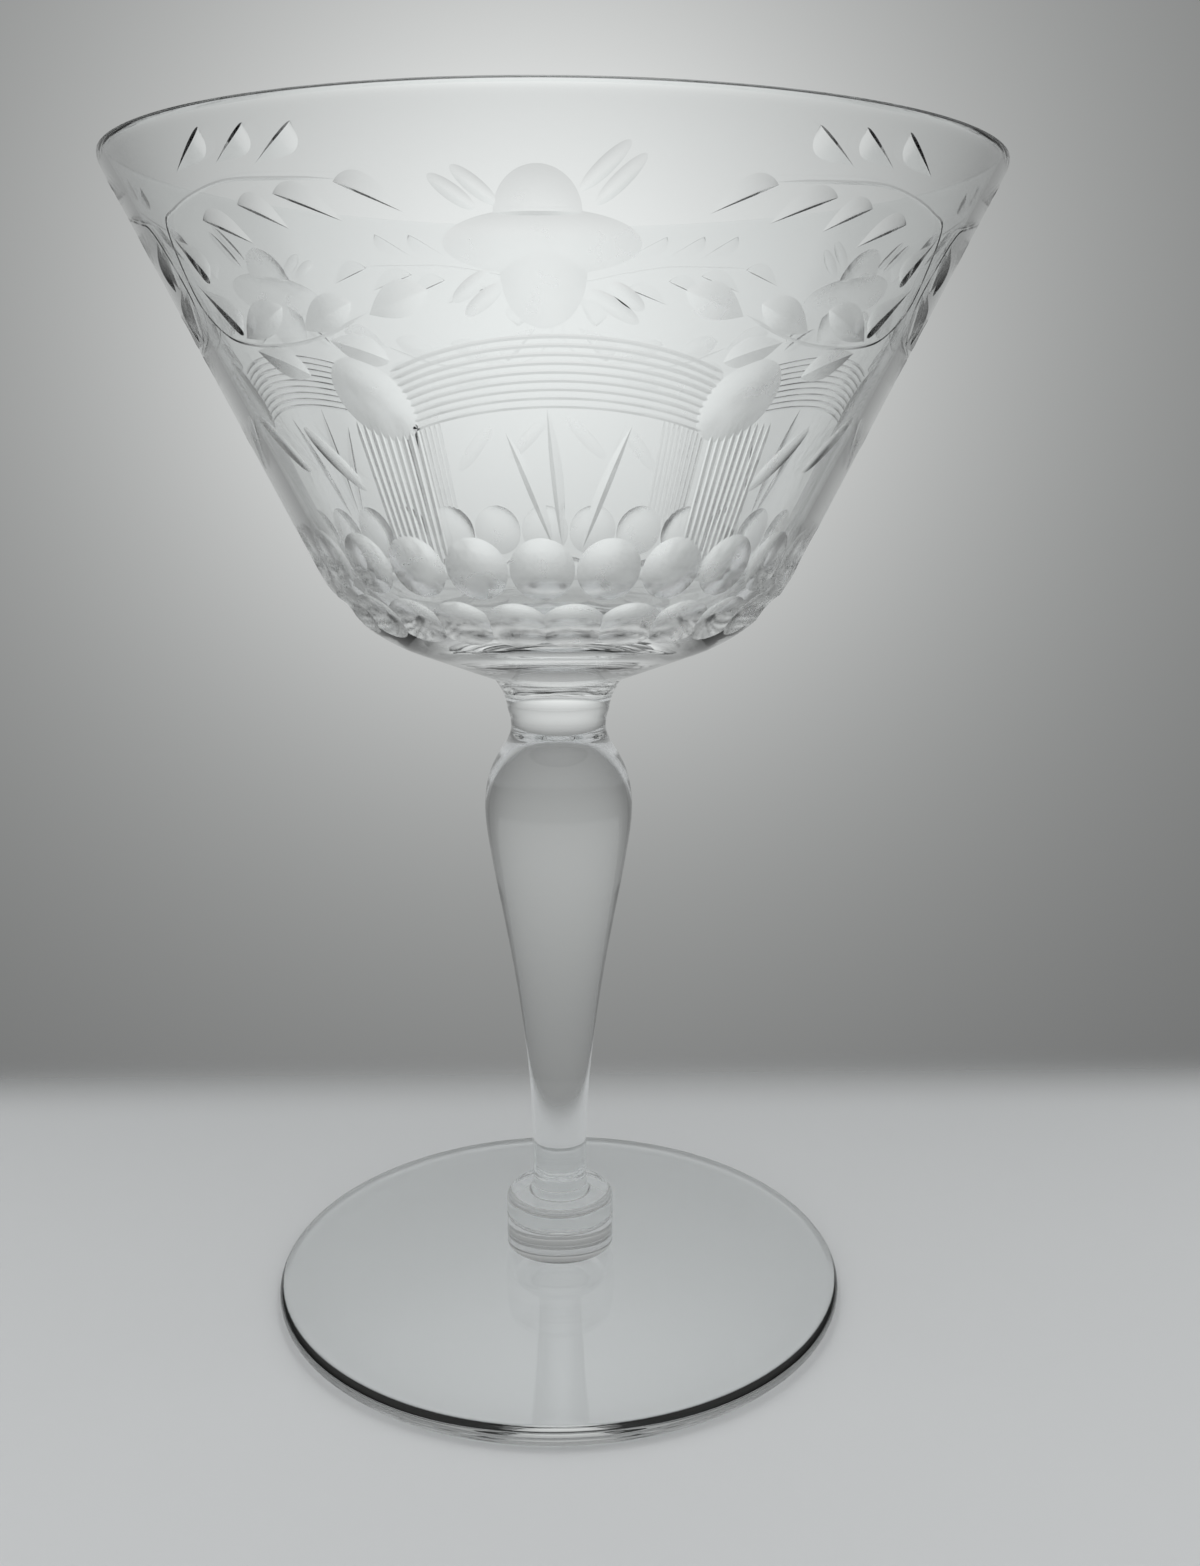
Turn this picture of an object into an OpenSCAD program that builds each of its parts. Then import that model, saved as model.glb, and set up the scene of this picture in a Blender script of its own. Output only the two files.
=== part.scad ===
// Coupe glass: clear stemware with a straight flaring bowl, a drop-shaped stem, a collar of
// two buttons and a thin raised foot. The outside of the bowl is wheel-cut: three equal panels,
// each with a blossom between two laurel sprays over a lined arch on lined columns, and two
// staggered rows of thumbprints round the shoulder. Lengths are millimetres, turns are degrees.
// The middle of one panel faces -Y.

/* [Bowl] */
// Diameter over the rim
rim_d = 96; // [90:1:102]
// Height of the bowl above its joint with the pad
bowl_h = 55.5; // [54:0.5:58]
// Lean of the straight wall from upright, degrees
wall_lean = 26.3; // [24.5:0.5:27]
// Rise of the underside from level, degrees
under_rise = 20.8; // [19.5:0.1:22]
// Radius of the outer shoulder between wall and underside
shoulder_r = 19; // [16:0.5:20]
// Level thickness of the wall at the rim
rim_t = 1.3; // [1.2:0.1:1.6]
// Level thickness of the wall at the shoulder
wall_t = 1.9; // [1.8:0.1:2.2]
// Thickness of the glass under the middle of the bowl
floor_t = 5.5; // [5.2:0.1:6]
// Radius of the inside corner between wall and floor
inner_r = 17; // [17:0.5:18]
// Least thickness of the glass over the underside, square to its surface
dish_t = 2.4; // [2:0.1:2.4]

/* [Stem] */
// Height of the pad between bowl and stem
pad_h = 3; // [2.6:0.1:3.6]
// Diameter of the pad against the bowl
pad_d = 15.2; // [14:0.2:16]
// Height of the stem between its two joints
stem_h = 62.5; // [58:0.5:68]
// Diameter of the stem at the pad
stem_top_d = 12.2; // [11.4:0.1:12.4]
// Diameter of the neck, the narrow place under the pad
neck_d = 11.2; // [10:0.1:11.2]
// Largest diameter of the drop
drop_d = 17.6; // [16:0.2:19]
// Diameter of the slender lower stem
slim_d = 6.6; // [6:0.1:7.4]
// Diameter of the stem where it spreads on the upper button
stem_low_d = 7.8; // [7.4:0.1:8.4]
// Drop of the neck below the top of the stem
neck_drop = 2.8; // [2.4:0.1:3.2]
// Drop of the widest place of the stem below its top
drop_drop = 12.6; // [12:0.1:14]

/* [Foot] */
// Diameter of the foot
foot_d = 70.6; // [66:0.2:76]
// Thickness of the foot at its edge
foot_edge_t = 2.4; // [2:0.1:2.8]
// Height of the foot where it meets the lower button
foot_h = 5.3; // [4.6:0.1:6]
// Rise of the hollow under the middle of the foot
foot_hollow = 1.8; // [1.2:0.1:2.2]
// Width of the flat ring that the glass stands on
rest_w = 2.2; // [1.6:0.1:3]
// Diameter of the two buttons
button_d = 13.4; // [12.8:0.1:14]
// Height of the lower button
low_button_h = 4; // [3.4:0.1:4.6]
// Height of the upper button
top_button_h = 2.8; // [2.4:0.1:3.4]
// Rounding of the upper button's top edge
button_round = 1; // [0.8:0.1:1.2]

/* [Thumbprints] */
// Thumbprints in each of the two rows
thumbs = 27; // [24:3:27]
// Radius of the round wheel that cuts them
thumb_r = 8.4; // [8:0.1:9]
// Depth of the upper row
thumb_depth = 0.8; // [0.6:0.05:0.9]
// Depth of the lower row
low_thumb_depth = 0.95; // [0.7:0.05:1]
// Drop of the upper row's middle below the rim
thumb_drop = 40.6; // [40:0.1:41.2]
// Turn of the lower row down round the shoulder from the end of the wall, degrees
low_thumb_turn = 15; // [13:1:17]

/* [Panels] */
// Panels round the bowl
panels = 3; // [3:1:3]
// Drop of the blossom's middle below the rim
blossom_drop = 11.8; // [11:0.1:12.4]
// Distance of a petal's deepest line from the blossom's middle
petal_reach = 2.9; // [2.8:0.1:3.3]
// Length of a petal's deepest line
petal_l = 5.8; // [5.2:0.1:5.8]
// Width of a petal across its deepest line
petal_w = 5.6; // [5:0.1:6]
// Depth of a petal
petal_depth = 0.5; // [0.4:0.01:0.55]
// Length of a blossom ray
ray_l = 5.4; // [4.8:0.1:5.8]
// Distance of a ray's middle from the blossom's middle
ray_reach = 8.2; // [7.6:0.1:8.6]
// Spacing of the two rays in a pair
ray_gap = 1.9; // [1.6:0.1:2.2]
// Drop of the laurel spray's middle below the rim
spray_drop = 12.8; // [12.4:0.1:13.2]
// Half height of the spray's stalk
spray_rise = 6.7; // [6.4:0.1:7]
// Turn of the spray's middle from the panel's middle, degrees
spray_turn = 41; // [40.5:0.5:41.5]
// Half width of the spray's stalk, degrees of turn
spray_span = 17.2; // [16.8:0.2:17.4]
// Length of a laurel leaf
leaf_l = 6.6; // [6:0.1:6.8]
// Width of a laurel leaf
leaf_w = 2; // [1.6:0.1:2.1]
// Depth of a laurel leaf, and of every other mitre cut
mitre_depth = 0.42; // [0.3:0.02:0.46]
// Width of the slender cuts: rays, tulip and drooping strokes
slender_w = 1.3; // [1:0.1:1.5]
// Length of a drooping stroke between two panels
stroke_l = 8; // [7:0.1:8.4]

/* [Arch and columns] */
// Parallel lines in each arch and in each column
lines = 9; // [7:2:9]
// Width of a cut line
line_w = 0.3; // [0.24:0.02:0.36]
// Depth of a cut line
line_depth = 0.2; // [0.15:0.01:0.25]
// Drop of the arch's top line below the rim at the panel's middle
arch_drop = 19.3; // [19:0.1:20]
// Height of the band of arch lines
arch_h = 5.9; // [5.4:0.1:6.2]
// Radius of the arch lines, laid flat on the wall
arch_r = 32; // [29:0.5:36]
// Turn of the columns' middles from the panel's middle, degrees
column_turn = 26.4; // [26:0.2:27]
// Width of a column
column_w = 6.6; // [6:0.1:7]
// Drop of a column's top end below the rim
column_drop = 28.6; // [28.2:0.1:29.4]
// Height of a column
column_h = 9.4; // [8.8:0.1:9.6]
// Drop of the tulip's middle below the rim
tulip_drop = 32; // [31.6:0.1:32.4]
// Length of a tulip cut
tulip_l = 11.2; // [10:0.1:11.6]
// Lean of the two outer tulip cuts from upright, degrees
tulip_lean = 17; // [14:1:20]
// Drop of the corner olives' middles below the rim
olive_drop = 24.5; // [24:0.1:24.8]
// Length of a corner olive
olive_l = 7.4; // [6.8:0.1:7.8]
// Width of a corner olive
olive_w = 3.6; // [3:0.1:4]

/* [Hidden] */
$fn = 96;

rim_r = rim_d / 2;
pad_r = pad_d / 2;
button_r = button_d / 2;
foot_r = foot_d / 2;
top_button_z = foot_h + low_button_h;
stem_z = top_button_z + top_button_h;
pad_z = stem_z + stem_h;
bowl_z = pad_z + pad_h;
rim_z = bowl_z + bowl_h;

// Rounded rim, touched by the wall's outer line, which would reach wall_top_r at the rim's height.
wall_tan = tan(wall_lean);
under_tan = tan(under_rise);
rim_round = rim_t / 2 * cos(wall_lean);
rim_mid = [rim_r - rim_round, rim_z - rim_round];
wall_top_r = rim_mid[0] + rim_t / 2 + wall_tan * rim_round;
// Straight wall: radius at a height, and its sharp corner with the underside.
function wall_r(z) = wall_top_r - wall_tan * (rim_z - z);
corner_r = (wall_top_r - wall_tan * (bowl_h + under_tan * pad_r)) / (1 - wall_tan * under_tan);
corner_z = bowl_z + under_tan * (corner_r - pad_r);
// Shoulder: the arc that touches both, by its ends and its middle.
half_bend = (90 - wall_lean - under_rise) / 2;
shoulder_run = shoulder_r * tan(half_bend);
shoulder_top = [corner_r + shoulder_run * sin(wall_lean), corner_z + shoulder_run * cos(wall_lean)];
shoulder_low = [corner_r - shoulder_run * cos(under_rise), corner_z - shoulder_run * sin(under_rise)];
shoulder_mid = shoulder_top - shoulder_r * [cos(wall_lean), -sin(wall_lean)];
// Inside: the wall thickens evenly downwards and turns into a level floor. The corner's radius is
// inner_r, or in a wider bowl the one that keeps the glass dish_t thick over the rising underside.
floor_z = bowl_z + floor_t;
inner_tan = (wall_tan * (rim_z - shoulder_top[1]) + wall_t - rim_t) / (rim_z - shoulder_top[1]);
inner_lean = atan(inner_tan);
inner_top_r = wall_top_r - rim_t;
inner_corner_r = inner_top_r - inner_tan * (rim_z - floor_z);
inner_share = tan((90 - inner_lean) / 2);
dish_z = bowl_z + dish_t / cos(under_rise) + under_tan * (inner_corner_r - pad_r);
dish_r = (dish_z - floor_z) * cos(under_rise) / (cos(under_rise) + inner_share * sin(under_rise) - 1);
hollow_r = max(inner_r, dish_r);
inner_run = hollow_r * inner_share;
inner_low = [inner_corner_r - inner_run, floor_z];
inner_high = [inner_corner_r + inner_run * sin(inner_lean), floor_z + inner_run * cos(inner_lean)];
overrun = rim_d / 20;

// Laurel leaves of the right-hand spray: shares of the spray's half width and half height
// from its middle, then the lean of the leaf in degrees and the side of its facet.
leaf_shares = [
    [0.2, 1.43, 150, 1],
    [-0.21, 1.43, 150, 1],
    [-0.57, 1.37, 150, 1],
    [0.13, 0.46, 205, -1],
    [-0.26, 0.59, 205, -1],
    [-0.7, 0.63, 205, -1],
    [-1.16, 0.72, 206, -1],
    [0.77, 0.23, 232, -1],
    [0.66, -0.45, 233, -1],
    [0.17, -0.66, 158, 1],
    [-0.54, -0.63, 156, 1],
    [0.12, -1.22, 202, -1],
    [-0.76, -1.12, 202, -1],
    [-1.2, -0.51, 162, 1]
];
// Drooping strokes right of the panel: turn in degrees, drop as a share of the bowl's height,
// and lean in degrees.
stroke_shares = [
    [40.8, 0.543, 60],
    [53.5, 0.517, 47],
    [54, 0.596, 29]
];
// Shares of the pad's spread and height at which the handles of its curve stand.
pad_shares = [0.15, 0.35, 0.5, 0.3];
// Shares of the stem's height at which the handles and the top of its spread end stand.
slim_shares = [0.007, 0.035, 0.07];
// Shares of the taper's height at which the handles of its curve stand.
taper_shares = [0.47, 0.15];
// Shares of the height from drop to neck at which the handles of that curve stand.
bulge_shares = [0.63, 0.23];
// Shares of the foot's radius at which the handles of the hollow stand.
under_shares = [0.4, 0.7];
// Shares of the foot's run and rise at which the handles of its top stand.
top_shares = [0.7, 0.2, 0.3, 0.35];
// Shares of the bowl's height below the rim at which the wall is divided into bands, so that
// each band holds one zone of the pattern.
band_shares = [0.68, 0.53, 0.36, 0.21, 0.02];
// Size of the softened edge on both sides of the seam between the buttons.
seam = button_d / 45;
// Clear glass.
glass = [0.93, 0.95, 0.95, 0.35];
// Turn over which a corner olive covers the end of the arch lines, degrees.
olive_span = 9;
// Turn of the arch lines about their own middle, end to end.
arch_span = 2 * asin(wall_r(rim_z - arch_drop - arch_h / 2) * sin(column_turn - olive_span / 2) / arch_r);
// Share of a cut's depth by which its cutter stands clear of the glass.
clear_share = 0.3;
// Share of a mitre cut's width that is its steep side.
steep_share = 0.2;
// Share by which a cutter runs on past the ends of its cut.
run_on_share = 0.25;

// Points of a cubic curve with two end points and two handles.
function curve(a, b, c, d, n) = [for (i = [0:n]) let (t = i / n, s = 1 - t)
    s * s * s * a + 3 * s * s * t * b + 3 * s * t * t * c + t * t * t * d];

// Section of the uncut bowl, right of the axis.
module bowl_section() {
    difference() {
        polygon([
            [0, bowl_z],
            [pad_r, bowl_z],
            [corner_r, corner_z],
            for (share = band_shares)
                [wall_r(rim_z - share * bowl_h), rim_z - share * bowl_h],
            rim_mid + rim_round * [cos(wall_lean), -sin(wall_lean)],
            rim_mid + rim_round * [-cos(inner_lean), sin(inner_lean)],
            inner_high,
            inner_low,
            [0, floor_z]
        ]);
        difference() {
            polygon([shoulder_mid, 2 * shoulder_low - shoulder_mid, 2 * shoulder_top - shoulder_mid]);
            translate(shoulder_mid)
                circle(r = shoulder_r);
        }
        translate(inner_low + [0, hollow_r])
            circle(r = hollow_r);
    }
    translate(rim_mid)
        circle(r = rim_round);
}

// Puts a cutter on the wall: X runs to the right, Y up the slope, Z out of the glass.
module on_wall(turn, drop) {
    rotate([0, 0, turn])
        translate([0, -wall_r(rim_z - drop), rim_z - drop])
            rotate([90 + wall_lean, 0, 0])
                children();
}

// Bite of a wheel with an uneven pointed edge: a mitre cut along X, turned by lean, with a steep
// narrow side and a wide shallow facet. The facet is left of the cut's direction for face 1.
module mitre(length, width, depth, lean, face) {
    wheel_r = (length * length / 4 + depth * depth) / (2 * depth);
    tall = depth * (1 + clear_share);
    steep_w = face * width * steep_share * (1 + clear_share);
    facet_w = face * width * (1 - steep_share) * (1 + clear_share);
    sweep = 2 * asin(length / 2 / wheel_r) * (1 + run_on_share);
    rotate([0, 0, lean])
        translate([0, 0, wheel_r - depth])
            rotate([90, 0, 0])
                rotate([0, 0, -90 - sweep / 2])
                    rotate_extrude(angle = sweep)
                        polygon([[wheel_r, 0], [wheel_r - tall, steep_w], [wheel_r - tall, -facet_w]]);
}

// Bite of a ball-edged wheel: a round hollow.
module hollow(wheel_r, depth) {
    translate([0, 0, wheel_r - depth])
        sphere(r = wheel_r);
}

// Every third thumbprint of both rows, so that no two of one set meet.
module thumb_set(start) {
    step = 360 / thumbs;
    fall = wall_lean + low_thumb_turn;
    low_r = shoulder_mid[0] + shoulder_r * cos(fall);
    low_z = shoulder_mid[1] - shoulder_r * sin(fall);
    for (i = [start:3:thumbs - 1]) {
        on_wall(i * step, thumb_drop)
            hollow(thumb_r, thumb_depth);
        rotate([0, 0, (i + 1.5) * step])
            translate([0, -low_r, low_z])
                rotate([90 + fall, 0, 0])
                    hollow(thumb_r, low_thumb_depth);
    }
}

// Four petals of a blossom, each with its straight deep edge towards the middle.
module petals() {
    on_wall(0, blossom_drop)
        for (a = [0:90:270])
            rotate([0, 0, a])
                translate([petal_reach, 0, 0])
                    mitre(petal_l, petal_w, petal_depth, -90, 1);
}

// Four pairs of rays between the petals.
module rays() {
    on_wall(0, blossom_drop)
        for (a = [45:90:315])
            for (side = [-1, 1])
                rotate([0, 0, a])
                    translate([ray_reach, side * ray_gap / 2, 0])
                        mitre(ray_l, slender_w, mitre_depth, 0, sign(cos(a)));
}

// Laurel spray right of the blossom, or left of it for side -1.
module spray(side) {
    for (leaf = leaf_shares)
        on_wall(side * (spray_turn + leaf[0] * spray_span), spray_drop - leaf[1] * spray_rise)
            mitre(leaf_l, leaf_w, mitre_depth, side * leaf[2], leaf[3]);
}

// Drooping strokes between this panel and the next.
module strokes(side) {
    for (stroke = stroke_shares)
        on_wall(side * stroke[0], stroke[1] * bowl_h)
            mitre(stroke_l, slender_w, mitre_depth, side * stroke[2], 1);
}

// Skin of the wall that the fine lines are cut into.
module skin() {
    low_z = rim_z - column_drop - column_h;
    rotate_extrude()
        polygon([
            [wall_r(low_z) - line_depth, low_z],
            [wall_r(low_z) + overrun, low_z],
            [wall_top_r + overrun, rim_z],
            [wall_top_r - line_depth, rim_z]
        ]);
}

// Parallel arched lines from column to column.
module arch() {
    intersection() {
        skin();
        union() {
            for (i = [0:lines - 1])
                on_wall(0, arch_drop)
                    translate([0, -arch_r - i * arch_h / (lines - 1), -overrun])
                        rotate([0, 0, 90 - arch_span / 2])
                            rotate_extrude(angle = arch_span)
                                translate([arch_r - line_w / 2, 0])
                                    square([line_w, 2 * overrun]);
        }
    }
}

// Upright parallel lines of one column.
module column(turn) {
    step = column_w / (lines - 1) / wall_r(rim_z - column_drop - column_h / 2) * 180 / PI;
    for (i = [0:lines - 1])
        on_wall(turn + (i - (lines - 1) / 2) * step, column_drop + column_h / 2)
            cube([line_w, column_h, 2 * line_depth], center = true);
}

// Three mitre cuts that open upwards like a tulip.
module tulip() {
    on_wall(0, tulip_drop) {
        mitre(tulip_l, slender_w, mitre_depth, 90, -1);
        for (side = [-1, 1])
            translate([side * tulip_l * sin(tulip_lean), 0, 0])
                mitre(tulip_l, slender_w, mitre_depth, side * (90 - tulip_lean), 1);
    }
}

// Fine parallel lines of one panel.
module lined_work() {
    arch();
    for (side = [-1, 1])
        column(side * column_turn);
}

// Mitre cuts of one panel.
module mitre_work() {
    petals();
    rays();
    tulip();
    for (side = [-1, 1]) {
        spray(side);
        strokes(side);
        on_wall(side * column_turn, olive_drop)
            mitre(olive_l, olive_w, mitre_depth, side * -135, -1);
    }
}

// Repeats a panel's cuts round the bowl.
module each_panel() {
    for (i = [0:panels - 1])
        rotate([0, 0, i * 360 / panels])
            children();
}

// Bowl with the panels cut, before the thumbprints.
module panelled_bowl() {
    difference() {
        difference() {
            rotate_extrude()
                bowl_section();
            each_panel()
                lined_work();
        }
        each_panel()
            mitre_work();
    }
}

module bowl() {
    color(glass)
        difference() {
            difference() {
                difference() {
                    panelled_bowl();
                    thumb_set(0);
                }
                thumb_set(1);
            }
            thumb_set(2);
        }
}

// Pad that spreads from the stem to the underside of the bowl.
module bowl_merese() {
    spread = pad_r - stem_top_d / 2;
    color(glass)
        rotate_extrude()
            polygon(concat(
                [[0, pad_z]],
                curve(
                    [stem_top_d / 2, pad_z],
                    [stem_top_d / 2 + spread * pad_shares[0], pad_z + pad_h * pad_shares[1]],
                    [pad_r - spread * pad_shares[2], bowl_z - pad_h * pad_shares[3]],
                    [pad_r, bowl_z],
                    10
                ),
                [[0, bowl_z]]
            ));
}

// Drop-shaped stem: spread end, slender part, drop and neck.
module stem() {
    belly_z = pad_z - drop_drop;
    neck_z = pad_z - neck_drop;
    slim_z = stem_z + stem_h * slim_shares[2];
    slim_r = slim_d / 2;
    belly_r = drop_d / 2;
    neck_r = neck_d / 2;
    taper = belly_z - slim_z;
    bulge = neck_z - belly_z;
    color(glass)
        rotate_extrude()
            polygon(concat(
                [[0, stem_z]],
                curve(
                    [stem_low_d / 2, stem_z],
                    [slim_r, stem_z + stem_h * slim_shares[0]],
                    [slim_r, stem_z + stem_h * slim_shares[1]],
                    [slim_r, slim_z],
                    6
                ),
                curve(
                    [slim_r, slim_z],
                    [slim_r, slim_z + taper * taper_shares[0]],
                    [belly_r, belly_z - taper * taper_shares[1]],
                    [belly_r, belly_z],
                    20
                ),
                curve(
                    [belly_r, belly_z],
                    [belly_r, belly_z + bulge * bulge_shares[0]],
                    [neck_r, neck_z - bulge * bulge_shares[1]],
                    [neck_r, neck_z],
                    14
                ),
                curve(
                    [neck_r, neck_z],
                    [neck_r, neck_z + neck_drop / 2],
                    [stem_top_d / 2, pad_z - neck_drop / 4],
                    [stem_top_d / 2, pad_z],
                    6
                ),
                [[0, pad_z]]
            ));
}

// Upper button, with a rounded top edge and a softened seam below.
module foot_merese() {
    color(glass)
        rotate_extrude()
            union() {
                polygon([
                    [0, top_button_z],
                    [button_r - seam, top_button_z],
                    [button_r, top_button_z + seam],
                    [button_r, stem_z - button_round],
                    [button_r - button_round, stem_z],
                    [0, stem_z]
                ]);
                translate([button_r - button_round, stem_z - button_round])
                    circle(r = button_round);
            }
}

// Foot: raised top, hollow underside, round edge, and the lower button on top.
module foot() {
    edge_r = foot_edge_t / 2;
    rest_r = foot_r - edge_r;
    rise = foot_h - foot_edge_t;
    run = rest_r - button_r;
    color(glass)
        rotate_extrude()
            union() {
                polygon(concat(
                    [[0, foot_hollow]],
                    curve(
                        [0, foot_hollow],
                        [rest_r * under_shares[0], foot_hollow],
                        [rest_r * under_shares[1], 0],
                        [rest_r - rest_w, 0],
                        10
                    ),
                    [[rest_r, 0], [rest_r, foot_edge_t]],
                    curve(
                        [rest_r, foot_edge_t],
                        [rest_r * top_shares[0], foot_edge_t + rise * top_shares[1]],
                        [button_r + run * top_shares[2], foot_h - rise * top_shares[3]],
                        [button_r, foot_h],
                        12
                    ),
                    [
                        [button_r, top_button_z - seam],
                        [button_r - seam, top_button_z],
                        [0, top_button_z]
                    ]
                ));
                translate([rest_r, edge_r])
                    circle(r = edge_r);
            }
}

bowl();
bowl_merese();
stem();
foot_merese();
foot();
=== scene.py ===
"""Looks of a wheel-cut coupe glass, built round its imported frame.

The five pieces are turned from the same outlines as the solids, as finely as clear glass needs.
The bowl is then cut as a glass cutter would: every leaf, ray, petal, line and thumbprint is the
bite of a wheel. Lengths are millimetres and turns are degrees until a mesh is made. The scene is
in metres, in the frame of the solids: +Z up, the middle of one cut panel facing -Y.
"""

import logging
import math
from dataclasses import dataclass, field
from enum import Enum, IntEnum
from typing import Any, ClassVar, Iterable

import bpy
import numpy as np
from mathutils import Euler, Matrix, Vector


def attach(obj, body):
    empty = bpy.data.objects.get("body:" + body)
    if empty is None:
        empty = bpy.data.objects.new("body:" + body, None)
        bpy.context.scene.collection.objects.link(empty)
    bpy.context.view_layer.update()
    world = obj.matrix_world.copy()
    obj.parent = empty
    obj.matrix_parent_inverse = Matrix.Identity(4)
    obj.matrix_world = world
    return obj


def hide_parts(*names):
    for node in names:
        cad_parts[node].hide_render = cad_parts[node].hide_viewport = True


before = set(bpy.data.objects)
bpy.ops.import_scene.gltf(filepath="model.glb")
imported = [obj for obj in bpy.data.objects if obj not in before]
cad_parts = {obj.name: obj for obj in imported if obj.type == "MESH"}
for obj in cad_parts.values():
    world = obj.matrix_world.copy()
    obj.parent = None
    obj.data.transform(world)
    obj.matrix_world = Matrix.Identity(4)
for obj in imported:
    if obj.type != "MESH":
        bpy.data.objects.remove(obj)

LOG = logging.getLogger("coupe_glass")
MM = 0.001
BODY = "root"
TOUCH = 1e-6
Pair = tuple[float, float]


class Surface(IntEnum):
    """Material slots that every glass piece carries."""

    POLISHED = 0
    CUT = 1
    BRUSHED = 2
    SEAM = 3


def srgb(code: str) -> tuple[float, float, float, float]:
    """Turns an sRGB hex colour into linear light.

    Args:
        code: Colour as "#rrggbb".

    Returns:
        Linear red, green and blue, and an alpha of 1.
    """
    values = [int(code[i:i + 2], 16) / 255 for i in (1, 3, 5)]
    linear = [v / 12.92 if v <= 0.04045 else ((v + 0.055) / 1.055) ** 2.4 for v in values]
    return (*linear, 1.0)


def add_node(tree: bpy.types.NodeTree, kind: str, settings: dict[str, Any] | None = None,
             inputs: dict[str | int, Any] | None = None) -> bpy.types.Node:
    """Adds a shader node with its settings and links.

    Args:
        tree: Node tree that gets the node.
        kind: Blender's name for the node type.
        settings: Properties of the node by name.
        inputs: Value, or output socket to link from, for each input by name or number.

    Returns:
        The new node.
    """
    node = tree.nodes.new(kind)
    for name, value in (settings or {}).items():
        setattr(node, name, value)
    for key, value in (inputs or {}).items():
        if isinstance(value, bpy.types.NodeSocket):
            tree.links.new(value, node.inputs[key])
        else:
            node.inputs[key].default_value = value
    return node


def maths(tree: bpy.types.NodeTree, operation: str, *terms: Any) -> bpy.types.NodeSocket:
    """Adds a Math node.

    Args:
        tree: Node tree that gets the node.
        operation: Blender's name for the operation.
        terms: Value, or output socket to link from, for each input.

    Returns:
        Output of the node.
    """
    return add_node(tree, "ShaderNodeMath", {"operation": operation}, dict(enumerate(terms))).outputs["Value"]


def fade(tree: bpy.types.NodeTree, value: bpy.types.NodeSocket, ends: Pair) -> bpy.types.NodeSocket:
    """Adds a soft ramp from 0 to 1.

    Args:
        tree: Node tree that gets the ramp.
        value: Length in metres that the ramp follows.
        ends: Lengths in millimetres at which it starts and is full.

    Returns:
        Output of the ramp.
    """
    return add_node(tree, "ShaderNodeMapRange", {"interpolation_type": "SMOOTHERSTEP"}, {
        "Value": value, "From Min": ends[0] * MM, "From Max": ends[1] * MM}).outputs["Result"]


def blank_material(name: str) -> bpy.types.Material:
    """Makes a material with an empty node tree.

    Args:
        name: Name of the material.

    Returns:
        The material.
    """
    material = bpy.data.materials.new(name)
    material.use_nodes = True
    material.node_tree.nodes.clear()
    return material


def values(items: Any, name: str, width: int = 0) -> np.ndarray:
    """Reads one property of every item in a collection of Blender's.

    Args:
        items: The collection, such as the faces of a mesh.
        name: Name of the property.
        width: Numbers in a vector, or 0 for a whole number.

    Returns:
        One number or one row for each item.
    """
    found = np.zeros(len(items) * max(width, 1), float if width else int)
    items.foreach_get(name, found)
    return found.reshape(-1, width) if width else found


@dataclass(frozen=True)
class ClearGlass:
    """Clear lead-free tableware glass, soda-lime of refractive index about 1.52."""

    name: str
    colour: str
    roughness: Pair
    smear_mm: float
    ripple_mm: float
    ripple_depth_mm: float
    ior: float = 1.52
    smear_grain: Pair = (4.0, 0.6)
    smear_range: Pair = (0.35, 0.75)
    ripple_detail: float = 1.0

    def make(self) -> bpy.types.Material:
        """Builds the material.

        Returns:
            A material of clear glass with faint smears and ripples.
        """
        material = blank_material(self.name)
        tree = material.node_tree
        place = add_node(tree, "ShaderNodeTexCoord").outputs["Object"]
        smear = add_node(tree, "ShaderNodeTexNoise", {}, {
            "Vector": place, "Scale": 1 / (self.smear_mm * MM),
            "Detail": self.smear_grain[0], "Roughness": self.smear_grain[1]})
        rough = add_node(tree, "ShaderNodeMapRange", {}, {
            "Value": smear.outputs["Fac"], "From Min": self.smear_range[0], "From Max": self.smear_range[1],
            "To Min": self.roughness[0], "To Max": self.roughness[1]})
        ripple = add_node(tree, "ShaderNodeTexNoise", {}, {
            "Vector": place, "Scale": 1 / (self.ripple_mm * MM), "Detail": self.ripple_detail})
        bump = add_node(tree, "ShaderNodeBump", {}, {
            "Height": ripple.outputs["Fac"], "Strength": 1.0, "Distance": self.ripple_depth_mm * MM})
        shader = add_node(tree, "ShaderNodeBsdfPrincipled", {}, {
            "Base Color": srgb(self.colour), "Roughness": rough.outputs["Result"], "IOR": self.ior,
            "Transmission Weight": 1.0, "Normal": bump.outputs["Normal"]})
        add_node(tree, "ShaderNodeOutputMaterial", {}, {"Surface": shader.outputs["BSDF"]})
        return material


@dataclass(frozen=True)
class FusedSeam:
    """Joint of two pieces that were fused hot: one body of glass, so light passes unbent."""

    name: str = "glass_fused_hot_seam"

    def make(self) -> bpy.types.Material:
        """Builds the material.

        Returns:
            A material that lets light straight through.
        """
        material = blank_material(self.name)
        tree = material.node_tree
        clear = add_node(tree, "ShaderNodeBsdfTransparent", {}, {"Color": srgb("#ffffff")})
        add_node(tree, "ShaderNodeOutputMaterial", {}, {"Surface": clear.outputs["BSDF"]})
        return material


# Fire-polished: the skin of the bowl, stem and foot as the fire left it. The eye sees a mirror-smooth
# skin with slow ripples of the hot glass and faint smears of handling.
FIRE_POLISHED = ClearGlass("soda_lime_glass_fire_polished", "#fbfcfc", (0.0, 0.02), 9.0, 16.0, 0.004)
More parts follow.
